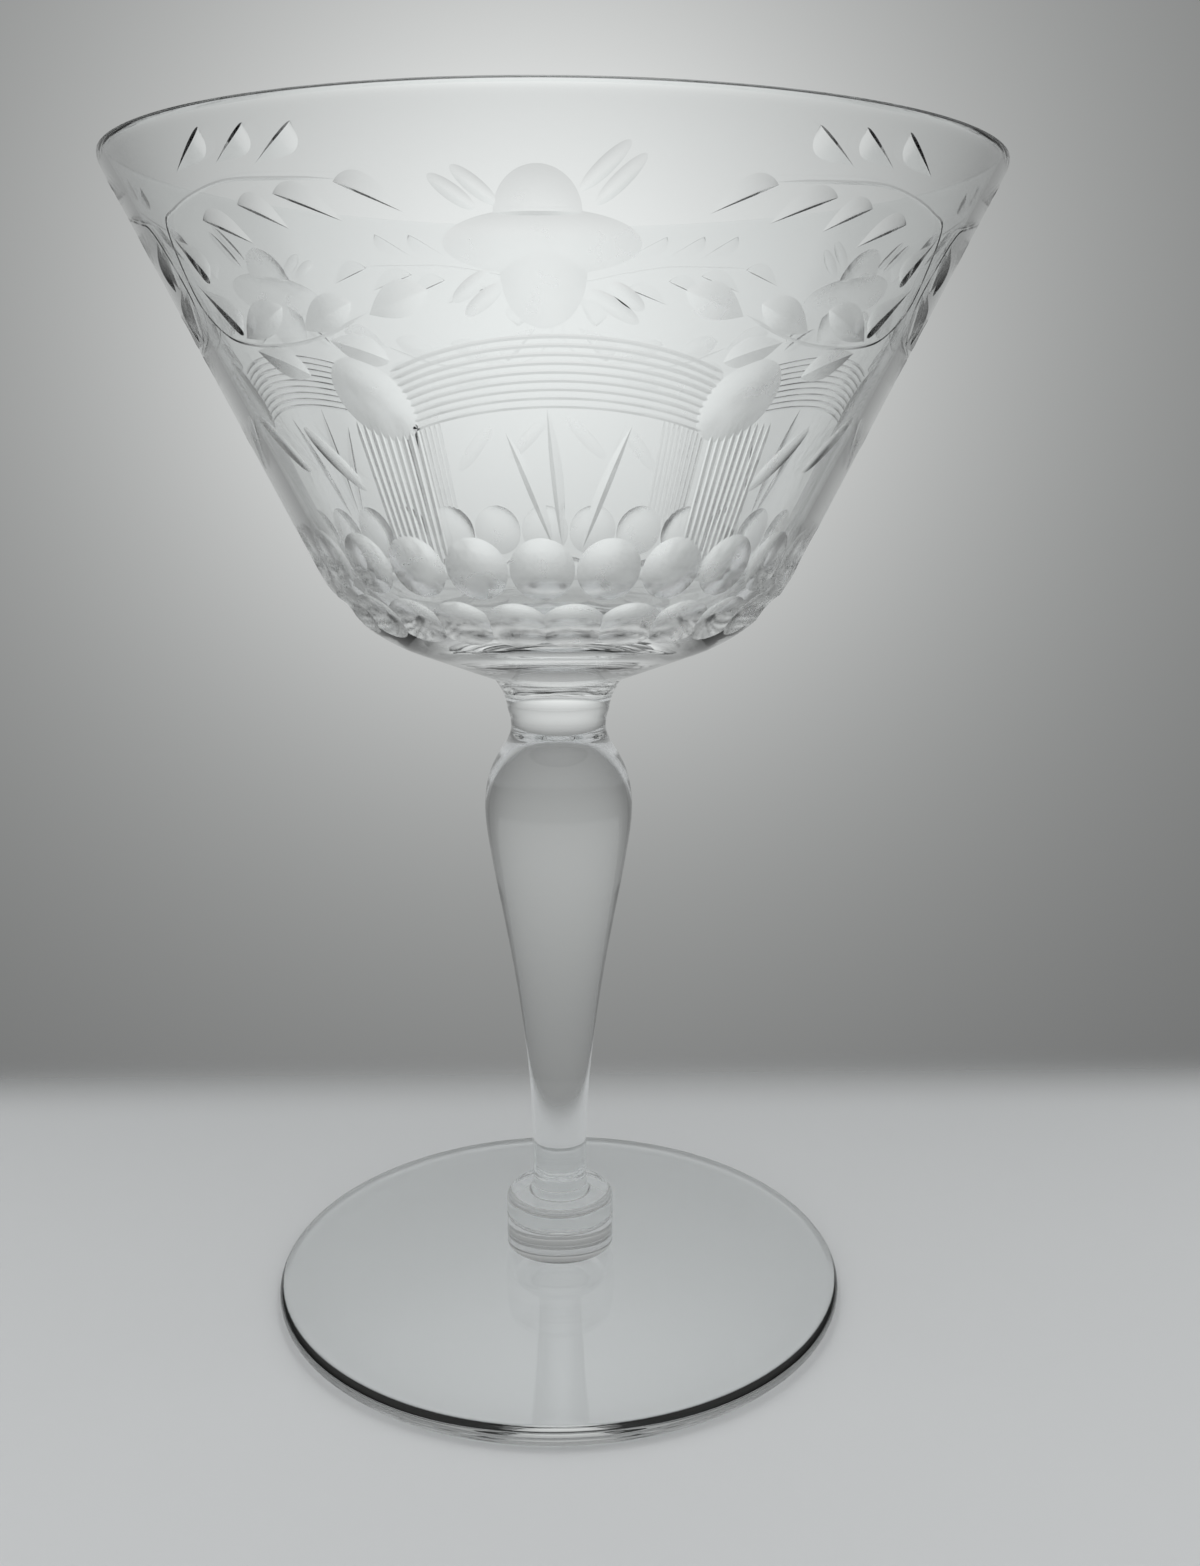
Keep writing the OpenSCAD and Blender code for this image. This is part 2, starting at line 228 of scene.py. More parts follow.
# Wheel-cut and polished: leaves, lines and tulips. The eye sees nearly clear facets with the short
# waves of a felt wheel, whose edges show by the light that they bend.
WHEEL_CUT = ClearGlass("soda_lime_glass_wheel_cut_polished", "#fbfcfc", (0.12, 0.2), 3.0, 2.4, 0.004)
# Ground on a round stone and brushed: thumbprints, petals, olives and kites. The eye sees pearly
# hollows, and what lies behind them runs together.
BRUSHED = ClearGlass("soda_lime_glass_ground_and_brushed", "#fbfcfc", (0.22, 0.3), 4.0, 3.0, 0.003)


@dataclass
class Run:
    """One smooth stretch of a turned outline, with the material of its surface."""

    surface: Surface
    points: list[tuple[float, float, float, float]] = field(default_factory=list)

    def add(self, rows: Iterable[tuple[float, float, float, float]]) -> None:
        """Appends radius, height and outward normal rows, without repeating a shared point."""
        for row in rows:
            if self.points and math.dist(row[:2], self.points[-1][:2]) < TOUCH:
                continue
            self.points.append(row)


class Outline:
    """Closed outline right of the axis, drawn from the axis outwards, up and back to the axis."""

    def __init__(self) -> None:
        """Starts with no runs."""
        self.runs: list[Run] = []

    def start(self, surface: Surface = Surface.POLISHED) -> "Outline":
        """Begins a new run after a sharp edge."""
        self.runs.append(Run(surface))
        return self

    def line(self, a: Pair, b: Pair, steps: int = 1) -> "Outline":
        """Adds a straight stretch from a to b."""
        length = math.dist(a, b)
        normal = ((b[1] - a[1]) / length, -(b[0] - a[0]) / length)
        self.runs[-1].add((a[0] + (b[0] - a[0]) * i / steps, a[1] + (b[1] - a[1]) * i / steps, *normal)
                          for i in range(steps + 1))
        return self

    def arc(self, mid: Pair, radius: float, first: float, last: float, steps: int) -> "Outline":
        """Adds an arc about mid from one angle to another; falling angles make a hollow."""
        out = 1 if last > first else -1
        angles = np.radians(np.linspace(first, last, steps + 1))
        self.runs[-1].add((mid[0] + radius * math.cos(a), mid[1] + radius * math.sin(a),
                           out * math.cos(a), out * math.sin(a)) for a in angles)
        return self

    def curve(self, a: Pair, b: Pair, c: Pair, d: Pair, steps: int) -> "Outline":
        """Adds a cubic curve with end points a and d and handles b and c."""
        p = np.array([a, b, c, d], float)
        rows = []
        for t in np.linspace(0, 1, steps + 1):
            s = 1 - t
            at = s ** 3 * p[0] + 3 * s * s * t * p[1] + 3 * s * t * t * p[2] + t ** 3 * p[3]
            go = s * s * (p[1] - p[0]) + 2 * s * t * (p[2] - p[1]) + t * t * (p[3] - p[2])
            go = go / np.hypot(*go)
            rows.append((at[0], at[1], go[1], -go[0]))
        self.runs[-1].add(rows)
        return self

    def nearest(self, run: Run, flat: np.ndarray) -> tuple[np.ndarray, np.ndarray]:
        """Finds the nearest place on a run.

        Args:
            run: The run to search.
            flat: Radius and height of each point.

        Returns:
            Distance to the run, and the smooth normal there, for each point.
        """
        rows = np.array(run.points)
        best = np.full(len(flat), np.inf)
        normals = np.zeros((len(flat), 2))
        for a, b in zip(rows[:-1], rows[1:]):
            go = b[:2] - a[:2]
            t = np.clip((flat - a[:2]) @ go / (go @ go), 0, 1)
            gap = np.linalg.norm(flat - (a[:2] + t[:, None] * go), axis=1)
            here = gap < best
            best[here] = gap[here]
            normals[here] = a[2:] + t[here, None] * (b[2:] - a[2:])
        return best, normals / np.linalg.norm(normals, axis=1)[:, None]


def turned_mesh(name: str, outline: Outline, segments: int) -> bpy.types.Mesh:
    """Turns an outline about the Z axis into a closed mesh.

    Args:
        name: Name of the mesh.
        outline: Outline in millimetres.
        segments: Faces round the axis.

    Returns:
        The mesh in metres, with exact normals and the surface of each run as material number.
    """
    turn = np.linspace(0, 2 * np.pi, segments, endpoint=False)
    ring = np.stack([np.sin(turn), -np.cos(turn)], axis=1)
    verts: list[tuple[float, float, float]] = []
    rings: list[list[int]] = []
    faces: list[tuple[int, ...]] = []
    normals: list[tuple[float, float, float]] = []
    surfaces: list[int] = []
    last: Pair | None = None

    def add_ring(r: float, z: float) -> None:
        """Adds the vertices of one ring, or one vertex on the axis."""
        first = len(verts)
        if r < TOUCH:
            verts.append((0.0, 0.0, z * MM))
            rings.append([first] * segments)
        else:
            verts.extend((r * x * MM, r * y * MM, z * MM) for x, y in ring)
            rings.append(list(range(first, first + segments)))

    for run in outline.runs:
        if last is None or math.dist(last, run.points[0][:2]) > TOUCH:
            add_ring(*run.points[0][:2])
        for a, b in zip(run.points[:-1], run.points[1:]):
            if b[0] < TOUCH or math.dist(b[:2], outline.runs[0].points[0][:2]) > TOUCH:
                add_ring(*b[:2])
            low, high = rings[-2], rings[-1]
            for i in range(segments):
                j = (i + 1) % segments
                corners = [(low[i], i, a), (low[j], j, a), (high[j], j, b), (high[i], i, b)]
                corners = [c for k, c in enumerate(corners) if c[0] != corners[k - 1][0]]
                faces.append(tuple(c[0] for c in corners))
                surfaces.append(int(run.surface))
                normals.extend((row[2] * ring[k][0], row[2] * ring[k][1], row[3]) for _, k, row in corners)
        last = run.points[-1][:2]
    mesh = bpy.data.meshes.new(name)
    mesh.from_pydata(verts, [], faces)
    mesh.update()
    mesh.polygons.foreach_set("material_index", surfaces)
    mesh.polygons.foreach_set("use_smooth", [True] * len(faces))
    mesh.normals_split_custom_set(normals)
    return mesh


@dataclass(frozen=True)
class Cutter:
    """Closed mesh of one wheel's path, with the finish it leaves and, for a ball, its centre."""

    verts: np.ndarray
    faces: list[tuple[int, ...]]
    finish: Surface = Surface.CUT
    ball: tuple[float, float, float] | None = None


@dataclass(frozen=True)
class Wall:
    """Straight flaring wall that the wheels bite into."""

    top_r: float
    top_z: float
    lean: float

    def radius(self, z: float) -> float:
        """Radius of the wall at a height."""
        return self.top_r - math.tan(math.radians(self.lean)) * (self.top_z - z)

    def point(self, turn: float, z: float) -> np.ndarray:
        """Point on the wall; turn 0 faces -Y and grows to the viewer's right."""
        a, r = math.radians(turn), self.radius(z)
        return np.array([r * math.sin(a), -r * math.cos(a), z])

    def normal(self, turn: float) -> np.ndarray:
        """Outward normal of the wall at a turn."""
        a, s = math.radians(turn), math.radians(self.lean)
        return np.array([math.sin(a) * math.cos(s), -math.cos(a) * math.cos(s), -math.sin(s)])


@dataclass(frozen=True)
class Bite:
    """Cut of a pointed wheel from one place on the wall to another.

    Places are a turn in degrees and a height. left and right are the widths of the two sides of
    the cut, seen from outside along its direction, at its deepest place. peak is the share of the
    path at which that is; a cut without one is a groove of even depth.
    """

    path: tuple[Pair, ...]
    left: float
    right: float
    depth: float
    peak: float | None = None
    finish: Surface = Surface.CUT

    RUN_ON: ClassVar[float] = 0.02
    GROOVE_END: ClassVar[float] = 0.04
    CLEAR: ClassVar[float] = 0.03
    LIFT: ClassVar[float] = 0.16

    def cutter(self, wall: Wall, turn: float, steps: int) -> Cutter:
        """Sweeps the wheel's point along the path.

        Args:
            wall: Wall that is cut.
            turn: Turn of the panel, in degrees.
            steps: Sections along the cut.

        Returns:
            The closed mesh of what the wheel takes away.
        """
        shares = 0.5 - 0.5 * np.cos(np.linspace(0, np.pi, steps + 1))
        shares[0], shares[-1] = -self.RUN_ON, 1 + self.RUN_ON
        places = [self.place(s) for s in shares]
        spine = np.array([wall.point(turn + p[0], p[1]) for p in places])
        outs = np.array([wall.normal(turn + p[0]) for p in places])
        along = np.gradient(spine, axis=0)
        along /= np.linalg.norm(along, axis=1)[:, None]
        side = np.cross(outs, along)
        inside = np.clip(shares, 0, 1)
        if self.peak is None:
            deep = np.minimum(inside, 1 - inside) / self.GROOVE_END
            deep = self.depth * np.minimum(deep, 1)
        else:
            first, last = 2 * self.peak, 2 - 2 * self.peak
            full = self.peak ** first * (1 - self.peak) ** last
            deep = self.depth * inside ** first * (1 - inside) ** last / full
        deep[[0, -1]] = -self.CLEAR
        reach = (deep + self.LIFT) / self.depth
        verts = np.stack([spine - outs * deep[:, None],
                          spine + outs * self.LIFT + side * (self.left * reach)[:, None],
                          spine + outs * self.LIFT - side * (self.right * reach)[:, None]], axis=1)
        faces: list[tuple[int, ...]] = [(2, 1, 0), (3 * steps, 3 * steps + 1, 3 * steps + 2)]
        for i in range(steps):
            for a, b in ((2, 0), (1, 2), (0, 1)):
                faces.append((3 * i + a, 3 * i + b, 3 * i + 3 + b, 3 * i + 3 + a))
        return Cutter(verts.reshape(-1, 3), faces, self.finish)

    def place(self, share: float) -> Pair:
        """Place at a share from 0 to 1 of the path, run on past its ends."""
        count = len(self.path) - 1
        t = share * count
        i = min(max(int(t), 0), count - 1)
        if count == 1:
            a, b = self.path
            return (a[0] + (b[0] - a[0]) * t, a[1] + (b[1] - a[1]) * t)
        p = [np.array(self.path[min(max(k, 0), count)]) for k in (i - 1, i, i + 1, i + 2)]
        t -= i
        at = p[1] + 0.5 * t * (p[2] - p[0] + t * (2 * p[0] - 5 * p[1] + 4 * p[2] - p[3]
                                                  + t * (3 * (p[1] - p[2]) + p[3] - p[0])))
        return (float(at[0]), float(at[1]))


@dataclass(frozen=True)
class Dish:
    """Half-dome hollow of a round-edged wheel, ended by a straight steep base.

    base is the turn and height of the base's middle. way is the direction from the base to the
    crown, in degrees clockwise from straight up the wall. step is the width of the slope at the
    base; without one the hollow goes on past the base as a full oval.
    """

    base: Pair
    way: float
    half_w: float
    reach: float
    depth: float
    step: float | None

    MARGIN: ClassVar[float] = 1.08
    CLEAR: ClassVar[float] = 0.12
    LIFT: ClassVar[float] = 0.9

    def cutter(self, wall: Wall, turn: float, steps: int) -> Cutter:
        """Lays the hollow on the wall and closes it above.

        Args:
            wall: Wall that is cut.
            turn: Turn of the panel, in degrees.
            steps: Faces along and across the hollow.

        Returns:
            The closed mesh of what the wheel takes away.
        """
        shares = np.linspace(-1, 1, steps + 1) * self.MARGIN
        first = -self.MARGIN if self.step is None else 0.0
        rows = [(v * self.reach, v) for v in np.linspace(first, self.MARGIN, steps + 1)]
        if self.step is not None:
            rows.insert(0, (-self.step, None))
        way = math.radians(self.way)
        low: list[np.ndarray] = []
        high: list[np.ndarray] = []
        for away, share in rows:
            for u in shares:
                x = u * self.half_w * math.cos(way) + away * math.sin(way)
                y = away * math.cos(way) - u * self.half_w * math.sin(way)
                z = self.base[1] + y * math.cos(math.radians(wall.lean))
                at = turn + self.base[0] + math.degrees(x / wall.radius(z))
                deep = -self.CLEAR if share is None else self.depth * (1 - u * u - share * share)
                low.append(wall.point(at, z) - wall.normal(at) * deep)
                high.append(wall.point(at, z) + wall.normal(at) * self.LIFT)
        wide, count = steps + 1, len(low)
        faces: list[tuple[int, ...]] = []
        for j in range(len(rows) - 1):
            for i in range(steps):
                a = j * wide + i
                ring = (a, a + 1, a + wide + 1, a + wide)
                faces.append(ring[::-1])
                faces.append(tuple(v + count for v in ring))
        border = [*range(steps), *(j * wide + steps for j in range(len(rows) - 1)),
                  *(count - 1 - i for i in range(steps)), *(j * wide for j in range(len(rows) - 1, 0, -1))]
        for a, b in zip(border, border[1:] + border[:1]):
            faces.append((a, b, b + count, a + count))
        return Cutter(np.array(low + high), faces, Surface.BRUSHED)


@dataclass(frozen=True)
class Oval:
    """Oval hollow of a round-edged wheel from one place on the wall to another."""

    path: tuple[Pair, Pair]
    half_w: float
    depth: float

    def cutter(self, wall: Wall, turn: float, steps: int) -> Cutter:
        """Lays the hollow on the wall as a dish without a base.

        Args:
            wall: Wall that is cut.
            turn: Turn of the panel, in degrees.
            steps: Faces across the hollow.

        Returns:
            The closed mesh of what the wheel takes away.
        """
        (turn_a, z_a), (turn_b, z_b) = self.path
        middle = ((turn_a + turn_b) / 2, (z_a + z_b) / 2)
        x = math.radians(turn_b - turn_a) * wall.radius(middle[1])
        y = (z_b - z_a) / math.cos(math.radians(wall.lean))
        dish = Dish(middle, math.degrees(math.atan2(x, y)), self.half_w, math.hypot(x, y) / 2, self.depth, None)
        return dish.cutter(wall, turn, steps)


Cut = Bite | Dish | Oval

# Angles from the deepest place of a ball, as first, last and count: where it bites, and behind.
BITE_ANGLES = (2.5, 35, 14)
BACK_ANGLES = (50, 165, 8)


def ball_cutter(mid: np.ndarray, out: np.ndarray, radius: float, segments: int = 44) -> Cutter:
    """Makes the ball of a round-edged wheel, fine where it bites.

    Args:
        mid: Centre of the ball.
        out: Direction out of the glass.
        radius: Radius of the ball.
        segments: Faces round the ball.

    Returns:
        The closed mesh of the ball.
    """
    across = np.cross(out, (0.0, 0.0, 1.0))
    across /= np.linalg.norm(across)
    other = np.cross(out, across)
    angles = np.radians(np.concatenate([np.linspace(*BITE_ANGLES), np.linspace(*BACK_ANGLES)]))
    verts = [mid - out * radius]
    for a in angles:
        for t in np.linspace(0, 2 * np.pi, segments, endpoint=False):
            verts.append(mid + radius * (-out * math.cos(a)
                                         + math.sin(a) * (across * math.cos(t) + other * math.sin(t))))
    verts.append(mid + out * radius)
    faces: list[tuple[int, ...]] = []
    count = len(angles)
    for i in range(segments):
        j = (i + 1) % segments
        faces.append((0, 1 + j, 1 + i))
        for k in range(count - 1):
            low, high = 1 + k * segments, 1 + (k + 1) * segments
            faces.append((low + i, low + j, high + j, high + i))
        top = 1 + (count - 1) * segments
        faces.append((top + i, top + j, len(verts) - 1))
    return Cutter(np.array(verts), faces, Surface.BRUSHED, tuple(mid))


class Wheel(Enum):
    """Cuts of one kind: width of the steep and of the wide side, depth, place of that, and finish."""

    OUTER_LEAF = (0.14, 1.9, 0.36, 0.75, Surface.CUT)
    INNER_LEAF = (0.06, 1.9, 0.24, 0.36, Surface.CUT)
    SIDE_LEAF = (0.5, 3.0, 0.3, 0.8, Surface.BRUSHED)
    UPPER_KITE = (1.9, 1.5, 0.26, 0.58, Surface.BRUSHED)
    LOWER_KITE = (1.3, 1.7, 0.21, 0.58, Surface.BRUSHED)
    TULIP = (0.4, 0.8, 0.2, 0.5, Surface.CUT)


@dataclass
class Panel:
    """Cuts of one panel, as places on the wall: turn from the panel's middle and height."""

    line: tuple[float, float] = (0.2, 0.075)
    flute: tuple[float, float] = (0.28, 0.1)
    stalk_line: tuple[float, float] = (0.18, 0.05)
    petal_depth: float = 0.36
    ray: tuple[float, float] = (0.75, 0.13)
    stroke: tuple[float, float] = (0.95, 0.16)
    olive: tuple[float, float] = (3.3, 0.4)
    olive_path: tuple[Pair, Pair] = ((33.4, 111.6), (22.6, 105.4))
    lines: int = 9
    column_turns: Pair = (-27.2, 30.0)
    column_span: float = 10.4
    column_z: Pair = (106.5, 93.0)
    arch_z: tuple[Pair, Pair] = ((110.9, 113.8), (105.5, 107.9))
    arch_span: float = 24.0
    arch_points: int = 9
    blossom: Pair = (-1.4, 121.5)

    # Sections along, or faces across, a cut of each kind.
    FINE: ClassVar[dict[str, int]] = {
        "stalk": 110, "leaf": 22, "stroke": 16, "olive": 24, "flute": 10, "line": 60, "petal": 24,
        "top_petal": 20, "ray": 16, "tulip": 18}

    # Sets in the order of cutting.
    SETS = ("lines", "stalks", "leaves", "side_petals", "low_petal", "top_petal", "rays", "strokes", "olives")
    # Leaves of the left spray, stalk end first, and the side of the wide facet: 1 left, -1 right.
    LEAVES = (
        (Wheel.OUTER_LEAF, -1, (
            ((-48.2, 128.2), (-40.9, 131.2)), ((-40.4, 128.3), (-34.2, 131.0)), ((-34.4, 127.9), (-28.0, 130.7)))),
        (Wheel.INNER_LEAF, 1, (
            ((-47.0, 124.3), (-39.0, 121.9)), ((-39.4, 125.1), (-32.5, 122.8)), ((-33.3, 125.6), (-24.8, 123.1)),
            ((-24.8, 126.1), (-17.2, 123.6)))),
        (Wheel.SIDE_LEAF, 1, (((-56.8, 123.8), (-52.4, 119.3)), ((-56.5, 119.4), (-49.8, 114.6)))),
        (Wheel.UPPER_KITE, -1, (
            ((-49.4, 114.2), (-38.6, 116.7)), ((-36.2, 114.6), (-27.0, 116.8)), ((-24.8, 115.7), (-16.0, 117.6)))),
        (Wheel.LOWER_KITE, 1, (((-48.0, 113.1), (-38.1, 110.7)), ((-32.3, 113.7), (-23.5, 111.8)))),
    )
    STALK = (
        (-24.4, 126.3), (-33.4, 126.8), (-40.1, 127.0), (-47.0, 126.4), (-52.4, 125.6), (-56.3, 124.8),
        (-58.2, 121.9), (-58.7, 117.6), (-54.5, 114.7), (-47.6, 113.6), (-38.8, 113.5), (-31.6, 114.3),
        (-24.8, 115.9),
    )
    # Rays as offsets from the blossom's middle, inner end first.
    RAYS = (
        ((-7.6, 2.2), (-12.4, 4.8)), ((-5.1, 2.5), (-9.8, 5.4)),
        ((3.9, 3.5), (9.0, 7.2)), ((5.7, 2.5), (10.8, 6.3)),
        ((-6.6, -2.5), (-11.5, -4.9)), ((-5.1, -3.5), (-10.1, -6.0)),
        ((5.3, -4.0), (11.8, -6.6)), ((7.8, -3.4), (12.3, -5.5)),
    )
    # The side petals run together as one oval, and the lower petal as another.
    PETALS = (((-13.2, 121.2), (9.8, 121.2), 2.85), ((-1.6, 123.6), (-1.6, 114.4), 3.75))
    top_petal: Dish = Dish((-2.1, 123.4), 0.0, 3.75, 4.0, 0.4, 0.6)
    STROKES = (((45.0, 106.0), (35.5, 100.0)), ((58.0, 107.1), (48.6, 101.7)))
    TULIP = (((-7.9, 105.6), (-0.8, 94.8), 1), ((-1.5, 107.7), (0.8, 95.0), 1), ((11.3, 106.2), (4.6, 94.6), -1))

    def bite(self, a: Pair, b: Pair, wheel: Wheel, face: int) -> Bite:
        """Makes a two-sided cut with its wide facet left for face 1 and right for face -1."""
        steep, wide, depth, peak, finish = wheel.value
        left, right = (wide, steep) if face > 0 else (steep, wide)
        return Bite((a, b), left, right, depth, peak, finish)

    def mirrored(self, side: int, place: Pair) -> Pair:
        """Place on the left for side -1, or its mirror image for side 1."""
        return (-side * place[0], place[1])

    def batches(self) -> dict[str, list[tuple[Cut, int]]]:
        """Lists the cuts in sets whose members don't overlap.

        Returns:
            Cuts with their number of sections, by set.
        """
        fine, (mid_turn, mid_z) = self.FINE, self.blossom
        sets: dict[str, list[tuple[Cut, int]]] = {name: [] for name in self.SETS}
        for side in (-1, 1):
            stalk = tuple(self.mirrored(side, p) for p in self.STALK)
            sets["stalks"].append((Bite(stalk, *[self.stalk_line[0]] * 2, self.stalk_line[1]), fine["stalk"]))
            for wheel, face, leaves in self.LEAVES:
                for a, b in leaves:
                    ends = self.mirrored(side, a), self.mirrored(side, b)
                    sets["leaves"].append((self.bite(*ends, wheel, -side * face), fine["leaf"]))
            for a, b in self.STROKES:
                ends = self.mirrored(-side, a), self.mirrored(-side, b)
                sets["strokes"].append((Oval(ends, *self.stroke), fine["stroke"]))
            olive = tuple(self.mirrored(-side, p) for p in self.olive_path)
            sets["olives"].append((Oval(olive, *self.olive), fine["olive"]))
            for i in range(self.lines):
                turn = self.column_turns[side > 0] + (i / (self.lines - 1) - 0.5) * self.column_span
                path = ((turn, self.column_z[0]), (turn, self.column_z[1]))
                sets["lines"].append((Bite(path, *[self.flute[0]] * 2, self.flute[1]), fine["flute"]))
        for i in range(self.lines):
            share = i / (self.lines - 1)
            low, high = (a + (b - a) * share for a, b in zip(*self.arch_z))
            turns = np.linspace(-self.arch_span, self.arch_span, self.arch_points)
            path = tuple((t, high - (high - low) * (t / self.arch_span) ** 2) for t in turns)
            sets["lines"].append((Bite(path, *[self.line[0]] * 2, self.line[1]), fine["line"]))
        for kind, (a, b, half_w) in zip(("side_petals", "low_petal"), self.PETALS):
            sets[kind].append((Oval((a, b), half_w, self.petal_depth), fine["petal"]))
        sets["top_petal"].append((self.top_petal, fine["top_petal"]))
        for ray in self.RAYS:
            ends = tuple((mid_turn + p[0], mid_z + p[1]) for p in ray)
            sets["rays"].append((Oval(ends, *self.ray), fine["ray"]))
        for a, b, face in self.TULIP:
            sets["strokes"].append((self.bite(a, b, Wheel.TULIP, face), fine["tulip"]))
        return sets


class GlassPiece:
    """A turned piece of clear glass that stands for one node of the frame."""

    name: str
    node: str
    segments: int = 240

    def outline(self) -> Outline:
        """Outline of the piece in millimetres."""
        raise NotImplementedError

    def build(self) -> bpy.types.Mesh:
        """Makes the finished mesh of the piece."""
        return turned_mesh(self.name, self.outline(), self.segments)

    def dress(self, finishes: list[bpy.types.Material]) -> bpy.types.Object:
        """Builds the piece, gives it its materials and seats it on the frame.

        Args:
            finishes: Materials in the order of Surface.

        Returns:
            The finished object.
        """
        mesh = self.build()
        surfaces = values(mesh.polygons, "material_index")
        mesh.materials.clear()
        for finish in finishes:
            mesh.materials.append(finish)
        mesh.polygons.foreach_set("material_index", surfaces)
        piece = bpy.data.objects.new(self.name, mesh)
        bpy.context.scene.collection.objects.link(piece)
        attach(piece, BODY)
        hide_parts(self.node)
        LOG.info("%s: %d faces", self.name, len(mesh.polygons))
        return piece


@dataclass
class Heights:
    """Heights of the joints between the pieces."""

    foot: float = 5.3
    button: float = 9.3
    stem: float = 12.1
    pad: float = 74.6
    bowl: float = 77.6
    rim: float = 133.1


@dataclass
class Bowl(GlassPiece):
    """Blown bowl with a straight flaring wall, cut outside in three equal panels."""

    at: Heights
    name: str = "wheel_cut_bowl"
    node: str = "bowl"
    segments: int = 480
    rim_r: float = 48.0
    wall_lean: float = 26.3
    under_rise: float = 20.8
    shoulder_r: float = 19.0
    rim_t: float = 1.3
    rim_edges: Pair = (0.14, 0.25)
    rim_bend: float = 2.2
    wall_t: float = 1.9
    floor_t: float = 5.5
    inner_r: float = 17.0
    pad_r: float = 7.6
    panels: int = 3
    thumbs: int = 27
    thumb_turn: float = -3.1
    thumb_r: float = 8.4
    thumb_depth: float = 0.8
    low_thumb_depth: float = 0.95
    thumb_z: float = 92.5
    low_thumb_fall: float = 15.0
    low_thumb_shift: float = 1.5
    thumb_sets: int = 3

    def __post_init__(self) -> None:
        """Works out the wall's line and the shoulder's arc."""
        lean, rise = math.radians(self.wall_lean), math.radians(self.under_rise)
        rim_round = self.rim_t / 2 * math.cos(lean)
        top_r = self.rim_r - rim_round + self.rim_t / 2 + math.tan(lean) * rim_round
        self.wall = Wall(top_r, self.at.rim, self.wall_lean)
        high = self.at.rim - self.at.bowl
        corner_r = top_r - math.tan(lean) * (high + math.tan(rise) * self.pad_r)
        corner_r /= 1 - math.tan(lean) * math.tan(rise)
        corner_z = self.at.bowl + math.tan(rise) * (corner_r - self.pad_r)
        run = self.shoulder_r * math.tan((math.pi / 2 - lean - rise) / 2)
        self.shoulder_top = (corner_r + run * math.sin(lean), corner_z + run * math.cos(lean))
        self.shoulder_low = (corner_r - run * math.cos(rise), corner_z - run * math.sin(rise))
        self.shoulder_mid = (self.shoulder_top[0] - self.shoulder_r * math.cos(lean),
                             self.shoulder_top[1] + self.shoulder_r * math.sin(lean))

    def outline(self) -> Outline:
        """Outline of the uncut bowl: underside, shoulder, wall, rim and the inside."""
        floor = self.at.bowl + self.floor_t
        tall = self.at.rim - self.shoulder_top[1]
        slope = math.tan(math.radians(self.wall_lean)) + (self.wall_t - self.rim_t) / tall
        lean = math.degrees(math.atan(slope))
        corner = self.wall.top_r - self.rim_t - slope * (self.at.rim - floor)
        run = self.inner_r * math.tan(math.radians(90 - lean) / 2)
        low = (corner - run, floor)
        high = (corner + run * math.sin(math.radians(lean)), floor + run * math.cos(math.radians(lean)))
        (edge, soft), rim_in = self.rim_edges, math.radians(lean)
        edge_z, soft_z = self.at.rim - edge, self.at.rim - soft
        bend = (self.wall.radius(self.at.rim - self.rim_bend), self.at.rim - self.rim_bend)
        upright = self.rim_r - bend[0]
        turn_z = bend[1] + upright / math.tan(math.radians(self.wall_lean))
        in_z = soft_z + soft * math.sin(rim_in)
        in_top = (self.wall.top_r - self.rim_t - slope * (self.at.rim - in_z), in_z)
        shape = Outline()
        shape.start(Surface.SEAM).line((0, self.at.bowl), (self.pad_r, self.at.bowl))
        shape.start().line((self.pad_r, self.at.bowl), self.shoulder_low, steps=2)
        shape.arc(self.shoulder_mid, self.shoulder_r, self.under_rise - 90, -self.wall_lean, steps=20)
        shape.line(self.shoulder_top, bend, steps=6)
        shape.curve(bend, (self.rim_r, turn_z), (self.rim_r, turn_z), (self.rim_r, edge_z), steps=8)
        shape.arc((self.rim_r - edge, edge_z), edge, 0, 90, steps=8)
        shape.arc((in_top[0] + soft * math.cos(rim_in), soft_z), soft, 90, 180 - lean, steps=8)
        shape.line(in_top, high, steps=4)
        shape.arc((low[0], floor + self.inner_r), self.inner_r, -lean, -90, steps=24)
        shape.line(low, (0, floor))
        return shape

    def thumbprints(self, start: int) -> list[Cutter]:
        """Balls of one set of thumbprints in both rows, of which no two meet."""
        step = 360 / self.thumbs
        fall = math.radians(self.wall_lean + self.low_thumb_fall)
        low_r = self.shoulder_mid[0] + self.shoulder_r * math.cos(fall)
        low_z = self.shoulder_mid[1] - self.shoulder_r * math.sin(fall)
        balls = []
        for i in range(start, self.thumbs, self.thumb_sets):
            turn = i * step + self.thumb_turn
            out = self.wall.normal(turn)
            mid = self.wall.point(turn, self.thumb_z) + out * (self.thumb_r - self.thumb_depth)
            balls.append(ball_cutter(mid, out, self.thumb_r))
            a = math.radians((i + self.low_thumb_shift) * step + self.thumb_turn)
            out = np.array([math.sin(a) * math.cos(fall), -math.cos(a) * math.cos(fall), -math.sin(fall)])
            mid = np.array([low_r * math.sin(a), -low_r * math.cos(a), low_z])
            balls.append(ball_cutter(mid + out * (self.thumb_r - self.low_thumb_depth), out, self.thumb_r))
        return balls

